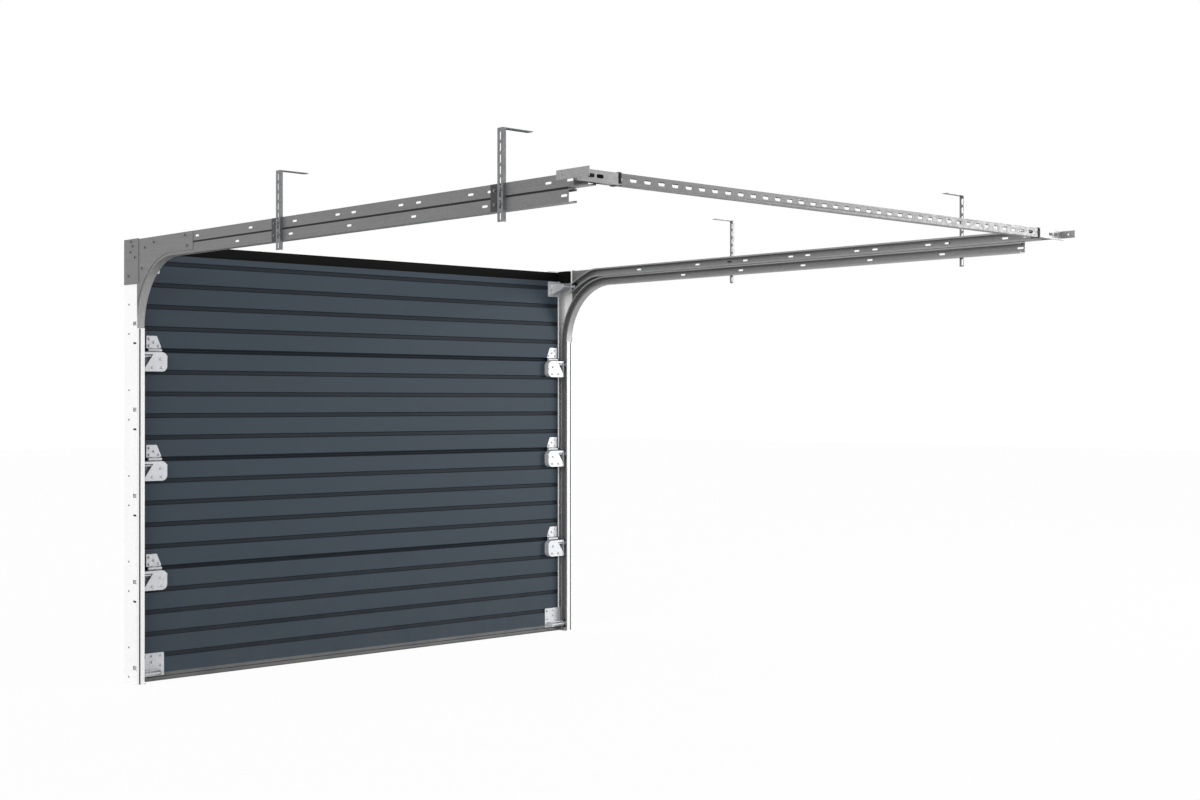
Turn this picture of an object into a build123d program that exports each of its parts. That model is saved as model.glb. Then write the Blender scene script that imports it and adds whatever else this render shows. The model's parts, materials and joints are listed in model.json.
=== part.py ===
from build123d import *
from math import acos, atan2, cos, degrees, hypot, sin
import os

# Sectional garage door with low-headroom double tracks, seen from inside the garage.
# Millimetres. X runs along the wall, Y runs from the wall into the garage, Z is up.
# The origin is the middle of the header rail's face that bears on the wall.

# Doorway and frame, heights from the floor
OPENING_WIDTH = 2700
FRAME_FACE = 90
FRAME_HEIGHT = 2200
FRAME_DEPTH = 130
FRAME_SHEET = 2
RETURN_RISE = 10
FOOT_THICKNESS = 3
HEADER_HEIGHT = 72
HEADER_DROP = 10
HEADER_DEPTH = 28
HEAD_BLOCK_THICKNESS = 24
HEAD_BLOCK_GAP = 11
HEAD_BLOCK_RAISE = 5
SEAL_WIDTH = 20
MOVING_GAP = 5

# Curtain of four sections
PANEL_THICKNESS = 40
PANEL_OVERLAP = 30
STRIPES_PER_SECTION = 5
STRIPE_COUNT = 19.4
STRIPE_START = 21.3
CURTAIN_OVERLAP = 14
SECTION_GAP = 5
GROOVE_WIDTH = 26
GROOVE_DEPTH = 5
TONGUE_WIDTH = 8
TONGUE_RISE = 12
TONGUE_Y = 21
LEAN_ROOM = 1.5
END_CAP = 2
SEAL_HEIGHT = 25
SEAL_SETBACK = 6
BOTTOM_RAIL_HEIGHT = 16

# Tracks: channels with their web against the side frame
TRACK_HEIGHT = 50
TRACK_WIDTH = 40
TRACK_SHEET = 2
TRACK_LIP = 8
TRACK_SEPARATION = 2
TRACK_FOOT = 15
TRACK_DROP = 81
CURVE_RADIUS = 370
UPPER_TRACK_END = 3410
LOWER_TRACK_SETBACK = 100
TRACK_SLOT_LENGTH = 34
TRACK_SLOT_WIDTH = 9
TRACK_SLOT_PITCH = 442
LOWER_SLOT_LEAD = 365
UPPER_SLOT_LEAD = 109
SLOT_PAIR_SPACING = 116

# Plates at the head
PLATE = 2.5
HEAD_PLATE_HEIGHT = 224
HEAD_PLATE_OVERHANG = 20
FLAG_LENGTH = 210
FLAG_OVERLAP = 35

# Hangers from the ceiling
REAR_HANGER_SETBACK = 458
HANGER_SPACING = 1511
HANGER_LENGTH = 345
HANGER_DROP = 66
HANGER_SHEET = 3
HANGER_WIDTH = 32
HANGER_STANDOFF = 12
HANGER_LEG = 145
HANGER_SLOT_LENGTH = 32
HANGER_SLOT_WIDTH = 9
HANGER_SLOT_PITCH = 42
CLAMP_LENGTH = 84
OUTER_HOLE_INSET = 50
CEILING_HOLE_SPACING = 60

# Cross rail behind the track ends
RAIL_SIZE = 41
RAIL_SHEET = 2
RAIL_LIP = 9
RAIL_END_INSET = 62
RAIL_SLOT_LENGTH = 34
RAIL_SLOT_WIDTH = 14
RAIL_SLOT_PITCH = 70
RAIL_BRACKET_OVERLAP = 70
RAIL_BRACKET_MARGIN = 6
RAIL_END_REACH = 130
RAIL_END_SHELF = 20
RAIL_END_SLOTS = (24, 66, 108)
CLEAT_LENGTH = 168
CLEAT_HEIGHT = 34
CLEAT_HOLE_SPACING = 100

# Hinges, roller carriers and rollers
LEAF = 3
HINGE_OFFSET = 10
ROLLER_OFFSET = 26
KNUCKLE_RADIUS = 8
PIN_RADIUS = 4
RUNNING_CLEARANCE = 0.05
KNUCKLE_GAP = 0.5
LEAF_INSET = 60
KNUCKLE_WIDTH = 24
UPPER_LEAF_WIDTH = 83
UPPER_LEAF_TOP_WIDTH = 57
UPPER_LEAF_HEIGHT = 62
LEAF_SETBACK = 10
LEAF_CORNER = 6
CARRIER_INSET = 115
CARRIER_OVERHANG = 10
CARRIER_HEIGHT = 96
CARRIER_CORNER = 28
CARRIER_FRONT = 10
WINDOW_WIDTH = 46
WINDOW_HEIGHT = 68
WINDOW_TOP = 12
CARRIER_CHEEK_INSET = 30
CHEEK_TOP = 16
CHEEK_BOTTOM = 48
CHEEK_NOSE = 14
ROLLER_DROP = 30
STEM_RADIUS = 5
STEM_FIT = 0.1
COLLAR_RADIUS = 8
COLLAR_WIDTH = 6
WHEEL_RADIUS = 22.6
WHEEL_WIDTH = 18
WHEEL_SIDE_GAP = 0.5
HEAD_WIDTH = 3
HEAD_OVERHANG = 2
STEM_INSET = 20
STEM_OVERHANG = 4
BOTTOM_ROLLER_RISE = 20
BOTTOM_BRACKET_HEIGHT = 115
BOTTOM_BRACKET_GAP = 3
TOP_BRACKET_HEIGHT = 92
TOP_BRACKET_SETBACK = 4
TOP_BRACKET_INSET = 90
TOP_ROLLER_DROP = 76
TOP_ROLLER_OFFSET = 103

# First stage of the lift: the curtain rises and the top section leans back
LIFT = 130
DIP_END = 8
PATH_LEAD = 18
PATH_STEPS = 8

# Holes and slots in the side frames
BOLT_RADIUS = 4.5
WALL_HOLE_LOW = 100
WALL_HOLE_HIGH = 140
WALL_HOLE_SPACING = 400
FRAME_SLOT_LENGTH = 30
FRAME_SLOT_WIDTH = 8
FRAME_SLOT_START = 84
FRAME_SLOT_INSET = 20
FRAME_SLOT_PAIR = 97
PUNCH_RADIUS = 3.5
PUNCH_Y = 48
PUNCH_PITCH = 424.5
PUNCH_STARTS = (34, 180)
SIDES = {"left": 1, "right": -1}

HALF_OPENING = OPENING_WIDTH / 2
HALF_FRAME = HALF_OPENING + FRAME_FACE
HEADER_TOP = FRAME_HEIGHT - HEADER_DROP
HEADER_BOTTOM = HEADER_TOP - HEADER_HEIGHT
FLOOR = -(HEADER_BOTTOM + HEADER_TOP) / 2
PANEL_HALF = HALF_OPENING + PANEL_OVERLAP
PANEL_OUTSIDE = HEADER_DEPTH + MOVING_GAP + 1
PANEL_INSIDE = PANEL_OUTSIDE + PANEL_THICKNESS
CURTAIN_TOP = HEADER_BOTTOM + CURTAIN_OVERLAP
STRIPE = round((CURTAIN_TOP - STRIPE_START) / STRIPE_COUNT, 1)
SECTION_HEIGHT = STRIPE * STRIPES_PER_SECTION
LOWEST_JOINT = CURTAIN_TOP - (STRIPE_COUNT - STRIPES_PER_SECTION) * STRIPE
JOINTS = [LOWEST_JOINT + SECTION_HEIGHT * step for step in range(3)]
TOP_JOINT = JOINTS[2]
HINGE_Y = PANEL_INSIDE + HINGE_OFFSET
TRACK_Y = PANEL_INSIDE + ROLLER_OFFSET
TOP_ROLLER_Y = PANEL_INSIDE + TOP_ROLLER_OFFSET
LOWER_TRACK_Z = FRAME_HEIGHT - TRACK_DROP
UPPER_TRACK_Z = LOWER_TRACK_Z + TRACK_HEIGHT + TRACK_SEPARATION
LOWER_TRACK_END = UPPER_TRACK_END - LOWER_TRACK_SETBACK
TOP_ROLLER_HEIGHT = UPPER_TRACK_Z - TOP_ROLLER_DROP
BOTTOM_ROLLER_HEIGHT = SEAL_HEIGHT + BOTTOM_ROLLER_RISE
WEB_OUTSIDE = HALF_FRAME - FRAME_SHEET
WEB_INSIDE = WEB_OUTSIDE - TRACK_SHEET
LIP_INSIDE = WEB_OUTSIDE - TRACK_WIDTH
WALL_HOLE_X = (PANEL_HALF + LIP_INSIDE) / 2
HANGER_Y = (UPPER_TRACK_END - REAR_HANGER_SETBACK - HANGER_SPACING, UPPER_TRACK_END - REAR_HANGER_SETBACK)
HANGER_BOTTOM = LOWER_TRACK_Z - HANGER_DROP
HANGER_TOP = HANGER_BOTTOM + HANGER_LENGTH
CURVE_START = LOWER_TRACK_Z - CURVE_RADIUS
CURVE_Y = TRACK_Y + CURVE_RADIUS
CHEEK_X = PANEL_HALF + CARRIER_OVERHANG
WHEEL_MIDDLE = (LIP_INSIDE + TRACK_SHEET + WEB_INSIDE) / 2
FLAG_END = CURVE_Y + FLAG_LENGTH
RAIL_Y = UPPER_TRACK_END + PLATE
RAIL_HALF = LIP_INSIDE
HEAD_PLATE_BOTTOM = FRAME_HEIGHT - HEAD_PLATE_HEIGHT
WALL_HOLE_MIDDLE = FRAME_HEIGHT / 2
WALL_HOLE_HEIGHTS = [WALL_HOLE_MIDDLE + WALL_HOLE_SPACING * step for step in (-1.5, -0.5, 0.5, 1.5)]
WALL_HOLE_HEIGHTS += [WALL_HOLE_LOW, FRAME_HEIGHT - WALL_HOLE_HIGH]
RAIL_BOTTOM = UPPER_TRACK_Z - RAIL_SIZE / 2


def box(side, x, y, z, mode=Mode.ADD):
    """Block between two X, Y and height values, on one side of the door."""
    middle = (side * (x[0] + x[1]) / 2, (y[0] + y[1]) / 2, FLOOR + (z[0] + z[1]) / 2)
    with Locations(middle):
        Box(x[1] - x[0], y[1] - y[0], z[1] - z[0], mode=mode)


def rod(side, x, radius, y, height, mode=Mode.ADD):
    """Round bar along X."""
    middle = (side * (x[0] + x[1]) / 2, y, FLOOR + height)
    with Locations(middle):
        Cylinder(radius, x[1] - x[0], rotation=(0, 90, 0), mode=mode)


def side_plane(side, x):
    """Plane whose own axes are Y and height, at the lower X of a layer on one side."""
    return Plane.YZ.offset(min(side * x[0], side * x[1]))


def plate(side, x, points, mode=Mode.ADD):
    """Flat plate across X with the given outline of Y and height."""
    with BuildSketch(side_plane(side, x)) as outline:
        with BuildLine():
            Polyline(*[(y, FLOOR + height) for y, height in points], close=True)
        make_face()
    extrude(outline.sketch, amount=x[1] - x[0], mode=mode)


def slots(side, x, spots, length, width, upright=False):
    """Slots through a layer across X, at spots of Y and height."""
    with BuildSketch(side_plane(side, x)) as row:
        with Locations(*[(y, FLOOR + height) for y, height in spots]):
            SlotOverall(length, width, rotation=90 if upright else 0)
    extrude(row.sketch, amount=x[1] - x[0], mode=Mode.SUBTRACT)


def save(piece, name):
    piece.label = name
    export_step(piece, f"parts/{name}.step")


# Path of the top roller while the curtain lifts and the top section leans back.
# The full lean brings the roller to just below the level of the upper track.
ACROSS = TOP_ROLLER_Y - HINGE_Y
UP = TOP_ROLLER_HEIGHT - TOP_JOINT
RAISED = UP + TOP_ROLLER_DROP - DIP_END - LIFT
FULL_LEAN = acos(RAISED / hypot(UP, ACROSS)) - atan2(ACROSS, UP)
TILT_PER_MM = round(FULL_LEAN / LIFT, 4)


def roller_path(rise):
    """Y, height and slope of the top roller at a rise of the curtain."""
    lean = TILT_PER_MM * rise
    y = HINGE_Y + ACROSS * cos(lean) + UP * sin(lean)
    height = TOP_JOINT + rise - ACROSS * sin(lean) + UP * cos(lean)
    run = TILT_PER_MM * (UP * cos(lean) - ACROSS * sin(lean))
    climb = 1 - TILT_PER_MM * (ACROSS * cos(lean) + UP * sin(lean))
    return y, height, atan2(climb, run)


def beside(rise, offset):
    """Point beside the roller's path, offset towards the ceiling."""
    y, height, slope = roller_path(rise)
    return (y - offset * sin(slope), FLOOR + height + offset * cos(slope))


PATH_RISES = [-PATH_LEAD + (LIFT + PATH_LEAD) * step / PATH_STEPS for step in range(PATH_STEPS + 1)]


# Centre lines of the tracks, each offset away from the bend's centre
def upright_line(offset):
    y = TRACK_Y - offset
    return [Line((y, FLOOR + TRACK_FOOT), (y, FLOOR + CURVE_START))]


def curved_line(offset):
    return [CenterArc((CURVE_Y, FLOOR + CURVE_START), CURVE_RADIUS + offset, 180, -90)]


def lower_line(offset):
    height = FLOOR + LOWER_TRACK_Z + offset
    return [Line((CURVE_Y, height), (LOWER_TRACK_END, height))]


def upper_line(offset):
    """Dipped front end that the top roller needs, then level to the rear."""
    points = [beside(rise, offset) for rise in PATH_RISES]
    slopes = [roller_path(rise)[2] for rise in (PATH_RISES[0], PATH_RISES[-1])]
    tangents = [(cos(slope), sin(slope)) for slope in slopes]
    end_y, end_height, end_slope = roller_path(LIFT)
    level_radius = (UPPER_TRACK_Z - end_height) / (1 - cos(end_slope))
    centre_y = end_y + level_radius * sin(end_slope)
    centre = (centre_y, FLOOR + UPPER_TRACK_Z - level_radius)
    height = FLOOR + UPPER_TRACK_Z + offset
    return [
        Spline(*points, tangents=tangents),
        CenterArc(centre, level_radius + offset, 90 + degrees(end_slope), -degrees(end_slope)),
        Line((centre_y, height), (UPPER_TRACK_END, height)),
    ]


def strip(side, x, line, near, far):
    """Layer across X that fills the band between two offsets of a centre line."""
    with BuildSketch(side_plane(side, x)) as band:
        with BuildLine():
            low = line(near)
            high = line(far)
            Line(low[0] @ 0, high[0] @ 0)
            Line(low[-1] @ 1, high[-1] @ 1)
        make_face()
    extrude(band.sketch, amount=x[1] - x[0])


def channel(side, line):
    """Track channel along a centre line: web, two flanges and two lips."""
    edge = TRACK_HEIGHT / 2
    strip(side, (WEB_INSIDE, WEB_OUTSIDE), line, -edge, edge)
    for near, far in ((edge - TRACK_SHEET, edge), (-edge, TRACK_SHEET - edge)):
        strip(side, (LIP_INSIDE, WEB_INSIDE), line, near, far)
    for near, far in ((edge - TRACK_LIP, edge), (-edge, TRACK_LIP - edge)):
        strip(side, (LIP_INSIDE, LIP_INSIDE + TRACK_SHEET), line, near, far)


def slot_row(start, end, height):
    """Middles of the slots along a level track."""
    count = int((end - TRACK_SLOT_LENGTH / 2 - start) / TRACK_SLOT_PITCH) + 1
    return [(start + TRACK_SLOT_PITCH * step, height) for step in range(count)]


def pressing(side, points, corner, depths, mode=Mode.ADD):
    """Layer over the curtain's inner face with an outline of X and height, its inner corners round."""
    face = Plane((0, PANEL_INSIDE + depths[0], FLOOR), x_dir=(-1, 0, 0), z_dir=(0, 1, 0))
    with BuildSketch(face) as outline:
        with BuildLine():
            Polyline(*[(-side * x, height) for x, height in points], close=True)
        make_face()
        if corner:
            across = outline.vertices().sort_by(Axis.X)
            fillet(across[-2:] if side > 0 else across[:2], corner)
    extrude(outline.sketch, amount=depths[1] - depths[0], mode=mode)


def upright_block(x, z):
    """Outline of X and height for a pressing, from its inner X to its outer X."""
    return [(x[1], z[0]), (x[0], z[0]), (x[0], z[1]), (x[1], z[1])]


def side_frame(side, name):
    """Folded post: wall flange, side flange with slot pairs, front edge and a foot."""
    with BuildPart() as frame:
        box(side, (HALF_OPENING, HALF_FRAME), (0, FRAME_SHEET), (0, FRAME_HEIGHT))
        box(side, (WEB_OUTSIDE, HALF_FRAME), (0, FRAME_DEPTH), (0, FRAME_HEIGHT))
        front_edge = (FRAME_DEPTH - FRAME_SHEET, FRAME_DEPTH)
        box(side, (LIP_INSIDE, HALF_FRAME), front_edge, (0, CURVE_START + RETURN_RISE))
        foot = (PANEL_HALF + MOVING_GAP, HALF_FRAME)
        box(side, foot, (0, FRAME_DEPTH), (0, FOOT_THICKNESS))
        layer = (WEB_OUTSIDE, HALF_FRAME)
        front = FRAME_DEPTH - FRAME_SLOT_INSET
        steps = range(int((HEAD_PLATE_BOTTOM - FRAME_SLOT_START) / PUNCH_PITCH) + 1)
        pairs = [(front, FRAME_SLOT_START + PUNCH_PITCH * step) for step in steps]
        pairs += [(y, height - FRAME_SLOT_PAIR) for y, height in pairs[1:]]
        slots(side, layer, pairs, FRAME_SLOT_LENGTH, FRAME_SLOT_WIDTH)
        punches = [(PUNCH_Y, start + PUNCH_PITCH * step) for start in PUNCH_STARTS for step in steps]
        slots(side, layer, punches, 2 * PUNCH_RADIUS + TRACK_SHEET, 2 * PUNCH_RADIUS)
        for height in WALL_HOLE_HEIGHTS:
            with Locations(Plane((side * WALL_HOLE_X, 0, FLOOR + height), z_dir=(0, -1, 0))):
                Cylinder(BOLT_RADIUS, 3 * FRAME_SHEET, mode=Mode.SUBTRACT)
    save(frame.part, f"{name}_side_frame")


def side_seal(side, name):
    with BuildPart() as seal:
        x = (HALF_OPENING, HALF_OPENING + SEAL_WIDTH)
        box(side, x, (FRAME_SHEET, PANEL_OUTSIDE - MOVING_GAP), (FOOT_THICKNESS, HEADER_BOTTOM))
    save(seal.part, f"{name}_side_seal")


def tracks(side, name):
    with BuildPart() as upright:
        channel(side, upright_line)
    save(upright.part, f"{name}_vertical_track")
    with BuildPart() as bend:
        channel(side, curved_line)
    save(bend.part, f"{name}_curved_track")
    with BuildPart() as lower:
        channel(side, lower_line)
        row = slot_row(HANGER_Y[0] - LOWER_SLOT_LEAD, LOWER_TRACK_END, LOWER_TRACK_Z)
        slots(side, (WEB_INSIDE, WEB_OUTSIDE), row, TRACK_SLOT_LENGTH, TRACK_SLOT_WIDTH)
    save(lower.part, f"{name}_lower_track")
    with BuildPart() as upper:
        channel(side, upper_line)
        row = slot_row(HANGER_Y[0] + UPPER_SLOT_LEAD, UPPER_TRACK_END, UPPER_TRACK_Z)
        row += [(y - SLOT_PAIR_SPACING, height) for y, height in row]
        row += [(FLAG_END + HEAD_PLATE_OVERHANG + TRACK_SLOT_LENGTH / 2, UPPER_TRACK_Z)]
        row += [(HANGER_Y[0] - HANGER_SPACING / 6, UPPER_TRACK_Z)]
        slots(side, (WEB_INSIDE, WEB_OUTSIDE), row, TRACK_SLOT_LENGTH, TRACK_SLOT_WIDTH)
    save(upper.part, f"{name}_upper_track")


def head_plate(side, name):
    """Flat plate that ties the flag plate to the side frame."""
    with BuildPart() as head:
        x = (HALF_FRAME, HALF_FRAME + PLATE)
        box(side, x, (0, FRAME_DEPTH + HEAD_PLATE_OVERHANG), (HEAD_PLATE_BOTTOM, FRAME_HEIGHT))
    save(head.part, f"{name}_head_plate")


def flag_plate(side, name):
    """Plate that carries the front ends of both tracks."""
    x = (WEB_OUTSIDE, HALF_FRAME)
    top = UPPER_TRACK_Z + TRACK_HEIGHT / 2
    radius = CURVE_RADIUS + TRACK_HEIGHT / 2 - FLAG_OVERLAP
    front = FRAME_DEPTH + 1
    drop = (radius ** 2 - (CURVE_Y - front) ** 2) ** 0.5
    with BuildPart() as flag:
        with BuildSketch(side_plane(side, x)):
            with BuildLine():
                low_front = (front, FLOOR + CURVE_START + drop)
                low_rear = (CURVE_Y, FLOOR + CURVE_START + radius)
                RadiusArc(low_front, low_rear, radius)
                Polyline(low_rear, (FLAG_END, low_rear[1]), (FLAG_END, FLOOR + top),
                         (front, FLOOR + top), low_front)
            make_face()
        extrude(amount=FRAME_SHEET)
    save(flag.part, f"{name}_flag_plate")


def hanger(side, y, name):
    """Slotted angle with a leg that bolts to the ceiling."""
    inner = WEB_OUTSIDE
    outer = inner + HANGER_STANDOFF + HANGER_SHEET
    front = y - HANGER_WIDTH / 2
    rear = y + HANGER_WIDTH / 2
    with BuildPart() as strap:
        box(side, (outer - HANGER_SHEET, outer), (front, rear), (HANGER_BOTTOM, HANGER_TOP))
        box(side, (inner, outer), (rear - HANGER_SHEET, rear), (HANGER_BOTTOM, HANGER_TOP))
        leg = (outer - HANGER_LEG, outer)
        box(side, leg, (front, rear), (HANGER_TOP - HANGER_SHEET, HANGER_TOP))
        count = int((HANGER_TOP - HANGER_BOTTOM) / HANGER_SLOT_PITCH)
        spots = [(y, HANGER_BOTTOM + HANGER_SLOT_PITCH * (step + 0.5)) for step in range(count)]
        layer = (outer - HANGER_SHEET, outer)
        slots(side, layer, spots, HANGER_SLOT_LENGTH, HANGER_SLOT_WIDTH, upright=True)
        for inset in (OUTER_HOLE_INSET, OUTER_HOLE_INSET + CEILING_HOLE_SPACING):
            with Locations((side * (outer - inset), y, FLOOR + HANGER_TOP)):
                Cylinder(BOLT_RADIUS, 3 * HANGER_SHEET, mode=Mode.SUBTRACT)
    save(strap.part, name)


def hanger_clamps():
    """Plate and packing that hold each hanger to both tracks."""
    low = LOWER_TRACK_Z - TRACK_HEIGHT / 2
    high = UPPER_TRACK_Z + TRACK_HEIGHT / 2
    with BuildPart() as clamps:
        for side in SIDES.values():
            for y in HANGER_Y:
                web = WEB_OUTSIDE
                rear = y + HANGER_WIDTH / 2 - HANGER_SHEET
                box(side, (web, web + PLATE), (rear - CLAMP_LENGTH, rear), (low, high))
                pack = (rear - HANGER_WIDTH + HANGER_SHEET, rear)
                margin = TRACK_HEIGHT / 3
                box(side, (web, web + HANGER_STANDOFF), pack, (low + margin, high - margin))
    save(clamps.part, "hanger_clamps")


def header():
    """Rail on the wall over the doorway, with a block in each head corner."""
    with BuildPart() as rail:
        heights = (HEADER_BOTTOM, HEADER_TOP)
        box(1, (-HALF_OPENING, HALF_OPENING), (0, HEADER_DEPTH), heights)
        for side in SIDES.values():
            box(side, (HALF_OPENING, WEB_OUTSIDE), (FRAME_SHEET, HEADER_DEPTH), heights)
    save(rail.part, "header_rail")
    with BuildPart() as blocks:
        for side in SIDES.values():
            x = (WEB_OUTSIDE - HEAD_BLOCK_THICKNESS, WEB_OUTSIDE)
            heights = (HEADER_BOTTOM + HEAD_BLOCK_RAISE, HEADER_TOP + HEAD_BLOCK_RAISE)
            box(side, x, (HEADER_DEPTH, FRAME_DEPTH - HEAD_BLOCK_GAP), heights)
    save(blocks.part, "head_blocks")


def cross_rail():
    """Slotted rail that ties the rear ends of the tracks."""
    bottom = RAIL_BOTTOM
    top = bottom + RAIL_SIZE
    with BuildPart() as rail:
        x = (-RAIL_HALF, RAIL_HALF)
        box(1, x, (RAIL_Y + RAIL_SIZE - RAIL_SHEET, RAIL_Y + RAIL_SIZE), (bottom, top))
        for low, high in ((bottom, bottom + RAIL_SHEET), (top - RAIL_SHEET, top)):
            box(1, x, (RAIL_Y, RAIL_Y + RAIL_SIZE), (low, high))
        for low, high in ((bottom, bottom + RAIL_LIP), (top - RAIL_LIP, top)):
            box(1, x, (RAIL_Y, RAIL_Y + RAIL_SHEET), (low, high))
        count = int(2 * RAIL_HALF / RAIL_SLOT_PITCH)
        face = Plane((0, RAIL_Y + RAIL_SIZE, FLOOR + UPPER_TRACK_Z), x_dir=(1, 0, 0), z_dir=(0, -1, 0))
        with BuildSketch(face):
            with GridLocations(RAIL_SLOT_PITCH, 0, count, 1):
                SlotOverall(RAIL_SLOT_LENGTH, RAIL_SLOT_WIDTH)
        extrude(amount=RAIL_SHEET, mode=Mode.SUBTRACT)
    save(rail.part, "cross_rail")


def rail_bracket(side, name):
    """Angle that joins the cross rail to the outside of the upper track."""
    low = UPPER_TRACK_Z - TRACK_HEIGHT / 2 + RAIL_BRACKET_MARGIN
    high = UPPER_TRACK_Z + TRACK_HEIGHT / 2 - RAIL_BRACKET_MARGIN
    with BuildPart() as bracket:
        x = (WEB_OUTSIDE, WEB_OUTSIDE + PLATE)
        box(side, x, (UPPER_TRACK_END - RAIL_BRACKET_OVERLAP, UPPER_TRACK_END + PLATE), (low, high))
        x = (RAIL_HALF - RAIL_END_INSET, WEB_OUTSIDE + PLATE)
        box(side, x, (UPPER_TRACK_END, UPPER_TRACK_END + PLATE), (low, high))
    save(bracket.part, f"{name}_rail_bracket")


def rail_end(side, name):
    """Slotted angle on the end of the rail, with a cleat to fix to the wall."""
    low = RAIL_BOTTOM
    reach = RAIL_HALF + RAIL_END_REACH
    rear = RAIL_Y + RAIL_SIZE
    with BuildPart() as end:
        x = (RAIL_HALF - RAIL_END_INSET, reach)
        box(side, x, (rear, rear + PLATE), (low, low + RAIL_SIZE))
        box(side, x, (rear, rear + RAIL_END_SHELF), (low - PLATE, low))
        face = Plane((0, rear + PLATE, FLOOR + UPPER_TRACK_Z), x_dir=(1, 0, 0), z_dir=(0, -1, 0))
        with BuildSketch(face) as holes:
            with Locations(*[(side * (RAIL_HALF + place), 0) for place in RAIL_END_SLOTS]):
                SlotOverall(RAIL_SLOT_LENGTH, RAIL_SLOT_WIDTH)
        extrude(holes.sketch, amount=PLATE, mode=Mode.SUBTRACT)
        middle = rear - RAIL_SIZE / 2 + PLATE / 5
        x = (reach, reach + PLATE)
        span = (middle - CLEAT_LENGTH / 2, middle + CLEAT_LENGTH / 2)
        box(side, x, span, (low + RAIL_SIZE - CLEAT_HEIGHT, low + RAIL_SIZE))
        for y in (middle - CLEAT_HOLE_SPACING / 2, middle + CLEAT_HOLE_SPACING / 2):
            rod(side, (reach - 1, reach + PLATE + 1), BOLT_RADIUS, y, low + RAIL_SIZE - CLEAT_HEIGHT / 2,
                mode=Mode.SUBTRACT)
    save(end.part, f"{name}_rail_end")


def section(low, high, name):
    """One panel with grooves across both faces, and bevels, a tongue and a groove at its joints."""
    half = GROOVE_WIDTH / 2
    bevel = half - SECTION_GAP / 2
    lines = [LOWEST_JOINT + STRIPE * step for step in range(-STRIPES_PER_SECTION, int(STRIPE_COUNT))]
    grooves = [line for line in lines if low + GROOVE_WIDTH < line < high - GROOVE_WIDTH]
    with BuildPart() as panel:
        box(1, (END_CAP - PANEL_HALF, PANEL_HALF - END_CAP), (PANEL_OUTSIDE, PANEL_INSIDE), (low, high))
        corners = panel.edges().filter_by(Axis.X)
        edges = []
        if low > LOWEST_JOINT - 1:
            edges += corners.group_by(Axis.Z)[0]
        if high < CURTAIN_TOP:
            edges += corners.group_by(Axis.Z)[-1]
        chamfer(edges, bevel)
        for face, inward in ((PANEL_OUTSIDE, 1), (PANEL_INSIDE, -1)):
            with BuildSketch(Plane.YZ.offset(END_CAP - PANEL_HALF)):
                for line in grooves:
                    with BuildLine():
                        floor = face + inward * GROOVE_DEPTH
                        Polyline((face, FLOOR + line - half), (floor, FLOOR + line - half + GROOVE_DEPTH),
                                 (floor, FLOOR + line + half - GROOVE_DEPTH), (face, FLOOR + line + half),
                                 close=True)
                    make_face()
            extrude(amount=2 * (PANEL_HALF - END_CAP), mode=Mode.SUBTRACT)
        middle = PANEL_OUTSIDE + TONGUE_Y
        tongue = (middle - TONGUE_WIDTH / 2, middle + TONGUE_WIDTH / 2)
        x = (END_CAP - PANEL_HALF, PANEL_HALF - END_CAP)
        if high < CURTAIN_TOP:
            box(1, x, tongue, (high, high + TONGUE_RISE))
        if low > LOWEST_JOINT:
            room = (tongue[0] - SECTION_GAP - LEAN_ROOM, tongue[1] + SECTION_GAP)
            box(1, x, room, (low, low + TONGUE_RISE), mode=Mode.SUBTRACT)
    save(panel.part, name)


SECTION_HEIGHTS = {
    "bottom_section": (SEAL_HEIGHT + BOTTOM_RAIL_HEIGHT, JOINTS[0] - SECTION_GAP / 2),
    "section_2": (JOINTS[0] + SECTION_GAP / 2, JOINTS[1] - SECTION_GAP / 2),
    "section_3": (JOINTS[1] + SECTION_GAP / 2, JOINTS[2] - SECTION_GAP / 2),
    "top_section": (JOINTS[2] + SECTION_GAP / 2, CURTAIN_TOP),
}


def end_outline(low, high):
    """Outline of a section's end, bevelled where it meets another section."""
    bevel = (GROOVE_WIDTH - SECTION_GAP) / 2
    under = bevel if low > LOWEST_JOINT else 0
    over = bevel if high < CURTAIN_TOP else 0
    outline = [(PANEL_OUTSIDE + under, low), (PANEL_INSIDE - under, low)]
    if under:
        outline += [(PANEL_INSIDE, low + under)]
    if over:
        outline += [(PANEL_INSIDE, high - over)]
    outline += [(PANEL_INSIDE - over, high), (PANEL_OUTSIDE + over, high)]
    if over:
        outline += [(PANEL_OUTSIDE, high - over)]
    if under:
        outline += [(PANEL_OUTSIDE, low + under)]
    return outline


def end_caps(sections, name):
    """Steel caps on both ends of the named sections."""
    with BuildPart() as caps:
        for side in SIDES.values():
            for key in sections:
                plate(side, (PANEL_HALF - END_CAP, PANEL_HALF), end_outline(*SECTION_HEIGHTS[key]))
    save(caps.part, name)


def bottom_edge():
    """Rail and rubber seal under the curtain."""
    x = (-PANEL_HALF, PANEL_HALF)
    with BuildPart() as rail:
        box(1, x, (PANEL_OUTSIDE, PANEL_INSIDE), (SEAL_HEIGHT, SEAL_HEIGHT + BOTTOM_RAIL_HEIGHT))
    save(rail.part, "bottom_rail")
    with BuildPart() as seal:
        middle = (PANEL_OUTSIDE + PANEL_INSIDE) / 2
        with BuildSketch(Plane.YZ.offset(-PANEL_HALF)):
            with Locations((middle, FLOOR + SEAL_HEIGHT / 2)):
                RectangleRounded(PANEL_THICKNESS - SEAL_SETBACK, SEAL_HEIGHT, 0.4 * SEAL_HEIGHT)
        extrude(amount=2 * PANEL_HALF)
    save(seal.part, "bottom_seal")


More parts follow.
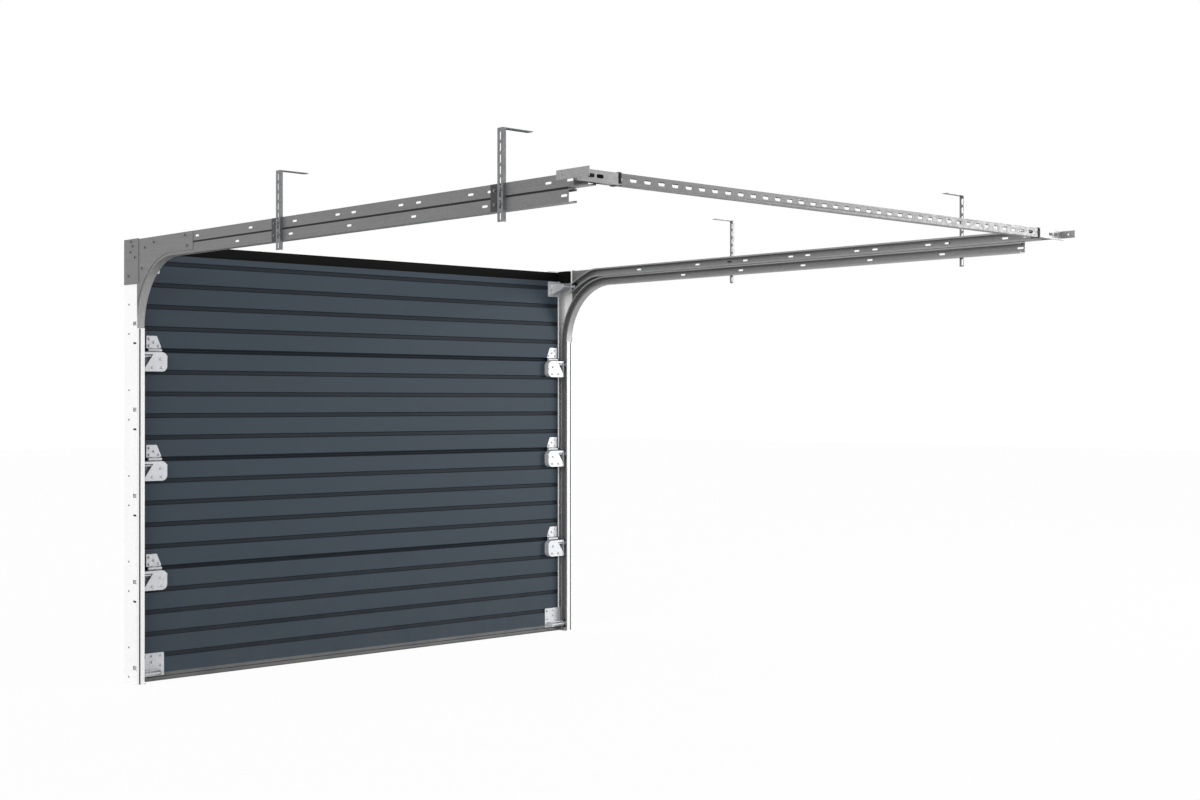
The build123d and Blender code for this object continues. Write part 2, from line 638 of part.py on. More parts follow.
def carrier(side, low, high, roller, reach, x_inner):
    """Base plate on a panel with a top flange and two cheeks that hold a roller stem."""
    top = roller + CHEEK_TOP
    back = PANEL_INSIDE + LEAF
    pressing(side, upright_block((x_inner, CHEEK_X), (low, high)), LEAF_CORNER, (0, LEAF))
    cheeks = (x_inner + CARRIER_CHEEK_INSET, CHEEK_X)
    box(side, (cheeks[0] - LEAF, cheeks[1]), (back, reach), (top - LEAF, top))
    for outer in cheeks:
        x = (outer - LEAF, outer)
        plate(side, x, [(back, top), (reach, top), (reach + CHEEK_NOSE, roller), (reach, roller - CHEEK_NOSE),
                        (back, max(low, roller - CHEEK_BOTTOM))])
    for outer in cheeks:
        x = (outer - 1.5 * LEAF, outer + LEAF / 2)
        rod(side, x, STEM_RADIUS + STEM_FIT, reach, roller, mode=Mode.SUBTRACT)


def box_carrier(side, low, high, roller, x_inner):
    """Pressed box that holds a roller stem, with an open corner in its front."""
    front = TRACK_Y + CARRIER_FRONT - PANEL_INSIDE
    pressing(side, upright_block((x_inner, CHEEK_X), (low, high)), CARRIER_CORNER, (0, front))
    hollow = upright_block((x_inner + LEAF, CHEEK_X - LEAF), (low + LEAF, high - LEAF))
    pressing(side, hollow, CARRIER_CORNER - LEAF, (LEAF, front - LEAF), mode=Mode.SUBTRACT)
    edge = CHEEK_X - LEAF
    top = high - WINDOW_TOP
    window = [(edge, top), (edge - WINDOW_WIDTH, top), (edge, top - WINDOW_HEIGHT)]
    pressing(side, window, 0, (front - 2 * LEAF, front + LEAF), mode=Mode.SUBTRACT)
    for x in ((x_inner - LEAF, x_inner + 3 * LEAF), (edge - LEAF, CHEEK_X + LEAF)):
        rod(side, x, STEM_RADIUS + STEM_FIT, TRACK_Y, roller, mode=Mode.SUBTRACT)


def lower_hinge_leaves(side, name):
    """Roller carriers on the lower sections, each with the hinge pin and two knuckles."""
    with BuildPart() as carriers:
        for joint in JOINTS:
            high = joint - LEAF_SETBACK
            box_carrier(side, high - CARRIER_HEIGHT, high, joint - ROLLER_DROP, PANEL_HALF - CARRIER_INSET)
            middle = PANEL_HALF - LEAF_INSET
            for start in (middle - 1.5 * KNUCKLE_WIDTH, middle + 0.5 * KNUCKLE_WIDTH):
                x = (start, start + KNUCKLE_WIDTH)
                rod(side, x, KNUCKLE_RADIUS, HINGE_Y, joint)
                plate(side, x, [(PANEL_INSIDE, high), (PANEL_INSIDE, high - LEAF),
                                (HINGE_Y, joint - KNUCKLE_RADIUS), (HINGE_Y, joint - PIN_RADIUS)])
            pin = (middle - KNUCKLE_WIDTH, middle + KNUCKLE_WIDTH)
            rod(side, pin, PIN_RADIUS, HINGE_Y, joint)
    save(carriers.part, f"{name}_roller_carriers")


def upper_leaf(side, joint):
    """Leaf on the section above, with the knuckle that turns on the pin."""
    middle = PANEL_HALF - LEAF_INSET
    low = joint + LEAF_SETBACK
    outer = middle + UPPER_LEAF_WIDTH / 2
    high = low + UPPER_LEAF_HEIGHT
    outline = [(outer, low), (outer - UPPER_LEAF_WIDTH, low), (outer - UPPER_LEAF_TOP_WIDTH, high),
               (outer, high)]
    pressing(side, outline, LEAF_CORNER, (0, LEAF))
    x = (middle - KNUCKLE_WIDTH / 2 + KNUCKLE_GAP, middle + KNUCKLE_WIDTH / 2 - KNUCKLE_GAP)
    rod(side, x, KNUCKLE_RADIUS, HINGE_Y, joint)
    plate(side, x, [(PANEL_INSIDE, low), (PANEL_INSIDE, low + LEAF),
                    (HINGE_Y, joint + KNUCKLE_RADIUS), (HINGE_Y, joint + PIN_RADIUS)])
    rod(side, x, PIN_RADIUS + RUNNING_CLEARANCE, HINGE_Y, joint, mode=Mode.SUBTRACT)


def stem(side, height, y, x_inner):
    """Roller stem with a collar and a head that keep the wheel in place."""
    wheel = (WHEEL_MIDDLE - WHEEL_WIDTH / 2, WHEEL_MIDDLE + WHEEL_WIDTH / 2)
    head = (wheel[1] + WHEEL_SIDE_GAP, wheel[1] + WHEEL_SIDE_GAP + HEAD_WIDTH)
    rod(side, (x_inner, head[1]), STEM_RADIUS, y, height)
    rod(side, head, STEM_RADIUS + HEAD_OVERHANG, y, height)
    rod(side, (wheel[0] - WHEEL_SIDE_GAP - COLLAR_WIDTH, wheel[0] - WHEEL_SIDE_GAP), COLLAR_RADIUS, y, height)


def wheel(side, height, y, name):
    x = (WHEEL_MIDDLE - WHEEL_WIDTH / 2, WHEEL_MIDDLE + WHEEL_WIDTH / 2)
    with BuildPart() as roller:
        rod(side, x, WHEEL_RADIUS, y, height)
        fillet(roller.edges().filter_by(GeomType.CIRCLE), WHEEL_WIDTH / 9)
        rod(side, x, STEM_RADIUS + RUNNING_CLEARANCE, y, height, mode=Mode.SUBTRACT)
    save(roller.part, name)


def bottom_bracket(side, name):
    low = SEAL_HEIGHT + BOTTOM_BRACKET_GAP
    inner = PANEL_HALF - CARRIER_INSET
    with BuildPart() as bracket:
        carrier(side, low, low + BOTTOM_BRACKET_HEIGHT, BOTTOM_ROLLER_HEIGHT, TRACK_Y, inner)
    save(bracket.part, f"{name}_bottom_bracket")


def top_bracket(side, name):
    high = CURTAIN_TOP - TOP_BRACKET_SETBACK
    inner = PANEL_HALF - TOP_BRACKET_INSET
    with BuildPart() as bracket:
        carrier(side, high - TOP_BRACKET_HEIGHT, high, TOP_ROLLER_HEIGHT, TOP_ROLLER_Y, inner)
    save(bracket.part, f"{name}_top_bracket")


def main():
    os.makedirs("parts", exist_ok=True)
    rollers = {"bottom": (BOTTOM_ROLLER_HEIGHT, TRACK_Y), "top": (TOP_ROLLER_HEIGHT, TOP_ROLLER_Y)}
    for number, joint in enumerate(JOINTS, start=1):
        rollers[f"joint_{number}"] = (joint - ROLLER_DROP, TRACK_Y)
    header()
    hanger_clamps()
    cross_rail()
    for name, side in SIDES.items():
        side_frame(side, name)
        side_seal(side, name)
        tracks(side, name)
        head_plate(side, name)
        flag_plate(side, name)
        for place, y in zip(("front", "rear"), HANGER_Y):
            hanger(side, y, f"{name}_{place}_hanger")
        rail_bracket(side, name)
        rail_end(side, name)
        lower_hinge_leaves(side, name)
        bottom_bracket(side, name)
        top_bracket(side, name)
        for place, (height, y) in rollers.items():
            wheel(side, height, y, f"{name}_{place}_wheel")
    for name, (low, high) in SECTION_HEIGHTS.items():
        section(low, high, name)
    end_caps(["bottom_section", "section_2", "section_3"], "curtain_end_caps")
    end_caps(["top_section"], "top_end_caps")
    bottom_edge()
    with BuildPart() as leaves:
        for side in SIDES.values():
            for joint in JOINTS[:2]:
                upper_leaf(side, joint)
    save(leaves.part, "hinge_leaves")
    with BuildPart() as top_leaves:
        for side in SIDES.values():
            upper_leaf(side, TOP_JOINT)
    save(top_leaves.part, "top_hinge_leaves")
    with BuildPart() as stems:
        for side in SIDES.values():
            for place, (height, y) in rollers.items():
                if place != "top":
                    inset = STEM_INSET if place == "bottom" else -STEM_OVERHANG
                    stem(side, height, y, PANEL_HALF - CARRIER_INSET + inset)
    save(stems.part, "roller_stems")
    with BuildPart() as top_stems:
        for side in SIDES.values():
            stem(side, TOP_ROLLER_HEIGHT, TOP_ROLLER_Y, PANEL_HALF - TOP_BRACKET_INSET + STEM_INSET)
    save(top_stems.part, "top_roller_stems")
    print("curve starts at", CURVE_START, "above the floor; top hinge roller reaches",
          TOP_JOINT - ROLLER_DROP + LIFT)


main()
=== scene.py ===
# %% [markdown]
# # Dressing a sectional garage door
# The CAD model gives every solid its shape, size and place. This lesson gives each one a finish,
# and adds the small pressed, turned and screwed things that make sheet metal look real.

# %% Load the frame
import bpy
import bmesh
from math import cos, pi, radians, sin
from mathutils import Matrix, Vector
import json


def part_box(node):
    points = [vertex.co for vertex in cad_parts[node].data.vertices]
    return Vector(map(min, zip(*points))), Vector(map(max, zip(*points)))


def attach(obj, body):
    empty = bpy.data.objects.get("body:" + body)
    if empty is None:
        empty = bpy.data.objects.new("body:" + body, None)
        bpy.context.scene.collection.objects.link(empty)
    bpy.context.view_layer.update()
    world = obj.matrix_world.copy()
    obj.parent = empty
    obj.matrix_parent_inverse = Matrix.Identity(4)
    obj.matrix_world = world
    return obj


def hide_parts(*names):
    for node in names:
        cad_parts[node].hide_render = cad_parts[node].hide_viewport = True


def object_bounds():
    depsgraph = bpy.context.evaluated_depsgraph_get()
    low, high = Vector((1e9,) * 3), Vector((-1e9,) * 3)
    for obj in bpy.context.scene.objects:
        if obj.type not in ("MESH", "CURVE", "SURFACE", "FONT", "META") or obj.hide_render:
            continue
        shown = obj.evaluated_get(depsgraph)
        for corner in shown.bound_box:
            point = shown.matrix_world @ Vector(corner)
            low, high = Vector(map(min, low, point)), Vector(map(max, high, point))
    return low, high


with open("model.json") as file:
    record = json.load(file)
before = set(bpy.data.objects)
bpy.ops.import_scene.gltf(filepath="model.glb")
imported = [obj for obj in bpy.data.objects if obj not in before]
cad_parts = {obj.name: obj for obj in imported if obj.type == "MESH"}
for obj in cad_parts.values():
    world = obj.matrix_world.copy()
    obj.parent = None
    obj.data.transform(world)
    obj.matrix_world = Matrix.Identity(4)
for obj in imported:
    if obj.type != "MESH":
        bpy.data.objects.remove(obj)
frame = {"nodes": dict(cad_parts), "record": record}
cad_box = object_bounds()
FLOOR = cad_box[0][2]
SIDES = {"left": 1, "right": -1}

# %% [markdown]
# ## Camera
# The photograph is taken at eye level from behind and to one side of the tracks. The place, the
# direction and the lens come from the straight edges of the door, so they are typed in as numbers.

# %% Camera
CAMERA_PLACE = Vector((5.2698, 7.5912, -0.7620))
CAMERA_LOOK = Vector((-0.6811, -0.7322, 0.0016))
LENS = 49.24

camera_data = bpy.data.cameras.new("camera")
camera_data.lens = LENS
camera_data.sensor_width = 36
camera_data.clip_end = 100
camera = bpy.data.objects.new("camera", camera_data)
camera.location = CAMERA_PLACE
camera.rotation_euler = CAMERA_LOOK.to_track_quat("-Z", "Y").to_euler()
bpy.context.scene.collection.objects.link(camera)
bpy.context.scene.camera = camera

# %% [markdown]
# ## Node helpers
# Every finish below is a small node tree. Three helpers keep them short: one makes a node and sets
# its inputs, one starts a material, and one gives a point on the piece in metres.


# %% Node helpers
def add_node(tree, kind, inputs=None, **settings):
    node = tree.nodes.new(kind)
    for key, value in settings.items():
        setattr(node, key, value)
    for key, value in (inputs or {}).items():
        if isinstance(value, bpy.types.NodeSocket):
            tree.links.new(value, node.inputs[key])
        else:
            node.inputs[key].default_value = value
    return node


def grey(level):
    return (level, level, level, 1)


def srgb(red, green, blue):
    """A colour read from a screen as 0 to 255, as the linear colour a shader wants."""
    channels = [value / 255 for value in (red, green, blue)]
    return tuple(c / 12.92 if c <= 0.04045 else ((c + 0.055) / 1.055) ** 2.4 for c in channels) + (1,)


def start_finish(name):
    material = bpy.data.materials.new(name)
    material.use_nodes = True
    shader = material.node_tree.nodes["Principled BSDF"]
    return material, material.node_tree, shader


def piece_point(tree, scale=(1, 1, 1)):
    coordinates = add_node(tree, "ShaderNodeTexCoord")
    return add_node(tree, "ShaderNodeMapping", {"Vector": coordinates.outputs["Object"], "Scale": scale}
                    ).outputs["Vector"]


# %% [markdown]
# ## Shared effect: zinc flake
# Hot-dip galvanised steel freezes in flat crystals, each a slightly different grey. A Voronoi
# texture gives such cells. The group puts out a colour, a roughness and a faint height, so the
# frames, tracks and fittings share it, each with its own tone and crystal size.


# %% Shared effects
def new_group(name, inputs, outputs):
    group = bpy.data.node_groups.new(name, "ShaderNodeTree")
    for label, kind, value in inputs:
        socket = group.interface.new_socket(label, in_out="INPUT", socket_type=kind)
        if value is not None:
            socket.default_value = value
    for label, kind in outputs:
        group.interface.new_socket(label, in_out="OUTPUT", socket_type=kind)
    return group, group.nodes.new("NodeGroupInput"), group.nodes.new("NodeGroupOutput")


FLOAT = "NodeSocketFloat"
COLOR = "NodeSocketColor"
VECTOR = "NodeSocketVector"


def make_zinc_flake():
    group, given, result = new_group(
        "zinc_flake",
        [("Point", VECTOR, None), ("Tone", COLOR, grey(0.5)), ("Crystal", FLOAT, 70.0),
         ("Spread", FLOAT, 0.12), ("Roughness", FLOAT, 0.45)],
        [("Color", COLOR), ("Roughness", FLOAT), ("Height", FLOAT)])
    wobble = add_node(group, "ShaderNodeTexNoise",
                      {"Vector": given.outputs["Point"], "Scale": 40.0, "Detail": 2.0})
    bent = add_node(group, "ShaderNodeMix", {"Factor": 0.012, 4: given.outputs["Point"],
                                             5: wobble.outputs["Color"]}, data_type="VECTOR")
    cells = add_node(group, "ShaderNodeTexVoronoi",
                     {"Vector": bent.outputs[1], "Scale": given.outputs["Crystal"]})
    shade = add_node(group, "ShaderNodeSeparateColor", {"Color": cells.outputs["Color"]})
    broad = add_node(group, "ShaderNodeTexNoise",
                     {"Vector": given.outputs["Point"], "Scale": 3.0, "Detail": 4.0, "Roughness": 0.6})
    mixed = add_node(group, "ShaderNodeMath", {0: shade.outputs["Red"], 1: broad.outputs["Fac"]},
                     operation="ADD")
    centred = add_node(group, "ShaderNodeMath", {0: mixed.outputs[0], 1: 1.0}, operation="SUBTRACT")
    scaled = add_node(group, "ShaderNodeMath", {0: centred.outputs[0], 1: given.outputs["Spread"]},
                      operation="MULTIPLY")
    gain = add_node(group, "ShaderNodeMath", {0: scaled.outputs[0], 1: 1.0}, operation="ADD")
    tone = add_node(group, "ShaderNodeVectorMath",
                    {0: given.outputs["Tone"], "Scale": gain.outputs[0]}, operation="SCALE")
    rough = add_node(group, "ShaderNodeMath",
                     {0: scaled.outputs[0], 1: 0.8, 2: given.outputs["Roughness"]},
                     operation="MULTIPLY_ADD")
    group.links.new(tone.outputs["Vector"], result.inputs["Color"])
    group.links.new(rough.outputs[0], result.inputs["Roughness"])
    group.links.new(shade.outputs["Green"], result.inputs["Height"])
    return group


zinc_flake = make_zinc_flake()


# %% [markdown]
# ## Shared effect: settled dust
# A garage door stays dusty near the floor, and dirt gathers in its low spots. The group mixes a
# dust colour into a base colour, more towards the floor, broken up by noise.


# %% Settled dust
def make_settled_dust():
    group, given, result = new_group(
        "settled_dust",
        [("Point", VECTOR, None), ("Base", COLOR, grey(0.5)), ("Dust", COLOR, srgb(150, 144, 136)),
         ("Amount", FLOAT, 0.1), ("Fade Height", FLOAT, 0.5)],
        [("Color", COLOR), ("Mask", FLOAT)])
    apart = add_node(group, "ShaderNodeSeparateXYZ", {"Vector": given.outputs["Point"]})
    above = add_node(group, "ShaderNodeMath", {0: apart.outputs["Z"], 1: FLOOR}, operation="SUBTRACT")
    height = add_node(group, "ShaderNodeMath", {0: above.outputs[0], 1: given.outputs["Fade Height"]},
                      operation="DIVIDE", use_clamp=True)
    low = add_node(group, "ShaderNodeMath", {0: 1.15, 1: height.outputs[0]}, operation="SUBTRACT")
    patches = add_node(group, "ShaderNodeTexNoise",
                       {"Vector": given.outputs["Point"], "Scale": 9.0, "Detail": 6.0, "Roughness": 0.65})
    spots = add_node(group, "ShaderNodeMapRange",
                     {"Value": patches.outputs["Fac"], "From Min": 0.35, "From Max": 0.75})
    mask = add_node(group, "ShaderNodeMath", {0: spots.outputs["Result"], 1: low.outputs[0]},
                    operation="MULTIPLY")
    mask = add_node(group, "ShaderNodeMath", {0: mask.outputs[0], 1: given.outputs["Amount"]},
                    operation="MULTIPLY", use_clamp=True)
    blend = add_node(group, "ShaderNodeMix", {"Factor": mask.outputs[0], 6: given.outputs["Base"],
                                              7: given.outputs["Dust"]}, data_type="RGBA")
    group.links.new(blend.outputs[2], result.inputs["Color"])
    group.links.new(mask.outputs[0], result.inputs["Mask"])
    return group


settled_dust = make_settled_dust()


def use_group(tree, group, inputs):
    return add_node(tree, "ShaderNodeGroup", inputs, node_tree=group)


# %% [markdown]
# ## Anthracite panels
# The sections have a coil-coated steel skin: even dark grey paint over a fine embossed grain. The
# floor of each pressed rib is painted a shade darker, as painted shade where the rib sees less light.
# The depth of the surface tells where a rib is: the skin lies at two known distances from the wall.

# %% Panel finish
PANEL_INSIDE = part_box("bottom_section")[1].y
PANEL_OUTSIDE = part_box("bottom_section")[0].y
RIB_DEPTH = 0.005
RIB_SHADE_EDGE = (0.0003, 0.35 * RIB_DEPTH)
PANEL_GREYS = (srgb(53, 63, 73), srgb(60, 70, 80))
RIB_PAINTED_SHADE = srgb(26, 33, 41)


def make_panel_finish():
    material, tree, shader = start_finish("panel_paint")
    point = piece_point(tree)
    apart = add_node(tree, "ShaderNodeSeparateXYZ", {"Vector": point})
    inner = add_node(tree, "ShaderNodeMapRange",
                     {"Value": apart.outputs["Y"], "From Min": PANEL_INSIDE - RIB_SHADE_EDGE[0],
                      "From Max": PANEL_INSIDE - RIB_SHADE_EDGE[1]})
    outer = add_node(tree, "ShaderNodeMapRange",
                     {"Value": apart.outputs["Y"], "From Min": PANEL_OUTSIDE + RIB_SHADE_EDGE[0],
                      "From Max": PANEL_OUTSIDE + RIB_SHADE_EDGE[1]})
    # painted shade mask: 1 on the floor of a rib, 0 on the skin
    rib_shade_mask = add_node(tree, "ShaderNodeMath", {0: inner.outputs["Result"], 1: outer.outputs["Result"]},
                   operation="MULTIPLY")
    broad = add_node(tree, "ShaderNodeTexNoise",
                     {"Vector": piece_point(tree, (0.5, 1, 3)), "Scale": 2.2, "Detail": 5.0})
    paint = add_node(tree, "ShaderNodeMix",
                     {"Factor": broad.outputs["Fac"], 6: PANEL_GREYS[0], 7: PANEL_GREYS[1]},
                     data_type="RGBA")
    # painted shade: the floor of each rib is mixed towards a darker grey
    rib_shaded_paint = add_node(tree, "ShaderNodeMix", {"Factor": rib_shade_mask.outputs[0], 6: paint.outputs[2], 7: RIB_PAINTED_SHADE},
                      data_type="RGBA")
    dusty = use_group(tree, settled_dust, {"Point": point, "Base": rib_shaded_paint.outputs[2], "Amount": 0.04,
                                           "Fade Height": 0.7})
    tree.links.new(dusty.outputs["Color"], shader.inputs["Base Color"])
    grain = add_node(tree, "ShaderNodeTexNoise", {"Vector": point, "Scale": 420.0, "Detail": 3.0})
    grain_bump = add_node(tree, "ShaderNodeBump", {"Height": grain.outputs["Fac"], "Strength": 0.35,
                                                   "Distance": 0.0004})
    waves = add_node(tree, "ShaderNodeTexNoise", {"Vector": piece_point(tree, (1, 1, 4)), "Scale": 1.6,
                                                  "Detail": 1.0})
    wave_bump = add_node(tree, "ShaderNodeBump", {"Height": waves.outputs["Fac"], "Strength": 0.3,
                                                  "Distance": 0.01,
                                                  "Normal": grain_bump.outputs["Normal"]})
    tree.links.new(wave_bump.outputs["Normal"], shader.inputs["Normal"])
    rough = add_node(tree, "ShaderNodeMapRange",
                     {"Value": broad.outputs["Fac"], "To Min": 0.5, "To Max": 0.62})
    tree.links.new(rough.outputs["Result"], shader.inputs["Roughness"])
    shader.inputs["Specular IOR Level"].default_value = 0.16
    return material


panel_finish = make_panel_finish()


# %% [markdown]
# ## Galvanised and zinc-plated steel
# Frames, tracks, hangers and hinges are all zinc, but not alike. The door frame is new and nearly
# white, the tracks are a dull mid grey, and the small pressings are bright plated. One function
# makes them all from the zinc flake group, with a streak along the way the sheet was rolled. The
# inside of a track lies in shade, and painted light makes it brighter than its outside: the distance
# from the middle of the door tells the two apart.


# %% Zinc finishes
WEB_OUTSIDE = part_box("left_lower_track")[1].x
INSIDE_LIGHT_MARGIN = 0.0005


def make_zinc(name, tone, crystal, spread, roughness, metallic, rolled, dust=0.1, painted_inside_light=1.0):
    material, tree, shader = start_finish(name)
    point = piece_point(tree)
    apart = add_node(tree, "ShaderNodeSeparateXYZ", {"Vector": point})
    reach = add_node(tree, "ShaderNodeMath", {0: apart.outputs["X"]}, operation="ABSOLUTE")
    # painted light: points nearer the middle than the outside of the track web get a colour gain
    inside_mask = add_node(tree, "ShaderNodeMath", {0: reach.outputs[0], 1: WEB_OUTSIDE - INSIDE_LIGHT_MARGIN},
                         operation="LESS_THAN")
    painted_light_gain = add_node(tree, "ShaderNodeMath", {0: inside_mask.outputs[0], 1: painted_inside_light - 1, 2: 1.0},
                            operation="MULTIPLY_ADD")
    flake = use_group(tree, zinc_flake, {"Point": point, "Tone": tone, "Crystal": crystal,
                                         "Spread": spread, "Roughness": roughness})
    streaks = add_node(tree, "ShaderNodeTexNoise",
                       {"Vector": piece_point(tree, rolled), "Scale": 110.0, "Detail": 3.0})
    streak_gain = add_node(tree, "ShaderNodeMapRange",
                           {"Value": streaks.outputs["Fac"], "From Min": 0.3, "From Max": 0.7,
                            "To Min": 1 - spread / 2, "To Max": 1 + spread / 3})
    streaked = add_node(tree, "ShaderNodeVectorMath",
                        {0: flake.outputs["Color"], "Scale": streak_gain.outputs["Result"]},
                        operation="SCALE")
    painted_light_colour = add_node(tree, "ShaderNodeVectorMath",
                      {0: streaked.outputs["Vector"], "Scale": painted_light_gain.outputs[0]}, operation="SCALE")
    dusty = use_group(tree, settled_dust, {"Point": point, "Base": painted_light_colour.outputs["Vector"],
                                           "Amount": dust})
    tree.links.new(dusty.outputs["Color"], shader.inputs["Base Color"])
    tree.links.new(flake.outputs["Roughness"], shader.inputs["Roughness"])
    bump = add_node(tree, "ShaderNodeBump", {"Height": flake.outputs["Height"], "Strength": 0.15,
                                             "Distance": 0.0003})
    tree.links.new(bump.outputs["Normal"], shader.inputs["Normal"])
    shader.inputs["Metallic"].default_value = metallic
    return material


ALONG_X = (0.04, 1, 1)
ALONG_Y = (1, 0.04, 1)
ALONG_Z = (1, 1, 0.04)
frame_zinc = make_zinc("frame_zinc", srgb(250, 250, 250), 75.0, 0.03, 0.55, 0.0, ALONG_Z, dust=0.05)
# painted light: the inside gain of 1.7 brightens the shaded inside of the tracks
track_zinc = make_zinc("track_zinc", srgb(118, 118, 118), 90.0, 0.14, 0.45, 0.4, ALONG_Y, painted_inside_light=1.7)
upright_zinc = make_zinc("upright_zinc", srgb(152, 153, 155), 90.0, 0.14, 0.45, 0.4, ALONG_Z)
end_zinc = make_zinc("end_zinc", srgb(150, 150, 151), 120.0, 0.14, 0.4, 0.5, ALONG_X)
rail_zinc = make_zinc("rail_zinc", srgb(112, 112, 112), 90.0, 0.2, 0.45, 0.5, ALONG_X)
fitting_zinc = make_zinc("fitting_zinc", srgb(122, 123, 125), 120.0, 0.2, 0.36, 0.6, ALONG_Z)
plated_zinc = make_zinc("plated_zinc", srgb(196, 198, 201), 160.0, 0.12, 0.45, 0.35, ALONG_Z, dust=0.03)
bolt_zinc = make_zinc("bolt_zinc", srgb(120, 121, 123), 160.0, 0.08, 0.4, 0.6, ALONG_Z)


# %% [markdown]
# ## Plastic, rubber and paint
# The header rail, the rollers, the seals and a few brackets are dark and dull. A fine noise in
# colour and height keeps them from looking like flat cut-outs.


# %% Dull finishes
def make_dull(name, tone, roughness, grain, depth, dust=0.12, metallic=0.0, gloss=0.2):
    material, tree, shader = start_finish(name)
    point = piece_point(tree)
    mottle = add_node(tree, "ShaderNodeTexNoise", {"Vector": point, "Scale": 14.0, "Detail": 5.0})
    darker = tuple(0.8 * value for value in tone[:3]) + (1,)
    lighter = tuple(1.25 * value for value in tone[:3]) + (1,)
    base = add_node(tree, "ShaderNodeMix", {"Factor": mottle.outputs["Fac"], 6: darker, 7: lighter},
                    data_type="RGBA")
    dusty = use_group(tree, settled_dust, {"Point": point, "Base": base.outputs[2], "Amount": dust})
    tree.links.new(dusty.outputs["Color"], shader.inputs["Base Color"])
    fine = add_node(tree, "ShaderNodeTexNoise", {"Vector": point, "Scale": grain, "Detail": 3.0})
    bump = add_node(tree, "ShaderNodeBump", {"Height": fine.outputs["Fac"], "Strength": 0.4,
                                             "Distance": depth})
    tree.links.new(bump.outputs["Normal"], shader.inputs["Normal"])
    rough = add_node(tree, "ShaderNodeMapRange", {"Value": fine.outputs["Fac"], "To Min": roughness - 0.06,
                                                  "To Max": roughness + 0.06})
    tree.links.new(rough.outputs["Result"], shader.inputs["Roughness"])
    shader.inputs["Metallic"].default_value = metallic
    shader.inputs["Specular IOR Level"].default_value = gloss
    return material


black_rail = make_dull("black_rail", srgb(12, 12, 11), 0.6, 500.0, 0.0003, dust=0.02, gloss=0.06)
black_nylon = make_dull("black_nylon", srgb(22, 22, 23), 0.42, 900.0, 0.0002, dust=0.04)
# this dark finish serves the real rubber seals, and also the painted shadow bars and the painted shade in
# the holes
rubber_and_painted_shade = make_dull("rubber_and_painted_shade", srgb(30, 30, 31), 0.72, 700.0, 0.0004)
dark_steel = make_dull("dark_steel", srgb(58, 60, 63), 0.45, 300.0, 0.0002, metallic=0.4, gloss=0.4)
sill_metal = make_dull("sill_metal", srgb(84, 86, 88), 0.5, 260.0, 0.0002, dust=0.2, metallic=0.2,
                       gloss=0.4)

# %% [markdown]
# ## Finishes for the carried-over solids
# The record gives each CAD node a material slot. Here each slot gets its finish, and the nodes
# that run across the rolling direction of their slot get the right one of their own.

# %% Give the nodes their finishes
SLOT_FINISHES = {
    "panel_anthracite": panel_finish, "galvanised_frame": frame_zinc, "galvanised_track": track_zinc,
    "galvanised_fitting": fitting_zinc, "zinc_hardware": plated_zinc, "dark_steel": dark_steel,
    "black_rail": black_rail, "rubber_seal": rubber_and_painted_shade, "bottom_rail": sill_metal,
    "black_nylon": black_nylon,
}
node_slots = {part["node"]: part["material_slot"] for part in frame["record"]["subparts"]}
OWN_FINISHES = {"cross_rail": rail_zinc, "bottom_seal": sill_metal}
for side in SIDES:
    OWN_FINISHES[f"{side}_vertical_track"] = upright_zinc
    OWN_FINISHES[f"{side}_rail_end"] = end_zinc
for name, solid in frame["nodes"].items():
    finish = OWN_FINISHES.get(name, SLOT_FINISHES[node_slots[name]])
    solid.data.materials.clear()
    solid.data.materials.append(finish)
print("finished", len(frame["nodes"]), "solids with", len(set(SLOT_FINISHES.values())), "finishes")


# %% [markdown]
# ## Making a piece from a bmesh
# Small pieces that repeat, such as screws, are drawn many times into one bmesh, and each group of
# them becomes one object that rides on the body it is fixed to.


# %% Piece helper
def finish_piece(mesh, name, body, material, flat=False):
    bmesh.ops.recalc_face_normals(mesh, faces=mesh.faces)
    data = bpy.data.meshes.new(name)
    mesh.to_mesh(data)
    mesh.free()
    data.materials.append(material)
    piece = bpy.data.objects.new(name, data)
    bpy.context.scene.collection.objects.link(piece)
    if not flat:
        data.shade_smooth()
        data.set_sharp_from_angle(angle=radians(35))
    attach(piece, body)
    return piece


def facing(direction):
    """Turns +Z to a direction."""
    return Vector(direction).to_track_quat("Z", "Y").to_matrix().to_4x4()


# %% [markdown]
# ## Screws
# The hinges are held by washer-head screws, and the steelwork by hex bolts with a washer. A cone
# with six sides and equal radii is the head, which a bevel softens, and a short round one with a
# slight taper is the washer.


# %% Screw helper
def soften(mesh, made, offset, segments):
    """Bevels every edge of a shape that was just made."""
    edges = dict.fromkeys(edge for vertex in made["verts"] for edge in vertex.link_edges)
    bmesh.ops.bevel(mesh, geom=list(edges), offset=offset, segments=segments, profile=0.5,
                    affect="EDGES", material=-1)


def hex_screw(mesh, place, direction, across=0.01, height=0.0055, washer=0.0085, thickness=0.0014):
    """Hex head on a washer, with its foot at a place and its top towards a direction."""
    turn = Matrix.Translation(Vector(place)) @ facing(direction)
    bmesh.ops.create_cone(mesh, cap_ends=True, segments=20, radius1=washer, radius2=0.92 * washer,
                          depth=thickness, matrix=turn @ Matrix.Translation((0, 0, thickness / 2)))
    corner = across / 2 / cos(pi / 6)
    head = bmesh.ops.create_cone(mesh, cap_ends=True, segments=6, radius1=corner, radius2=corner,
                                 depth=height,
                                 matrix=turn @ Matrix.Translation((0, 0, thickness + height / 2)))
    soften(mesh, head, 0.0007, 2)


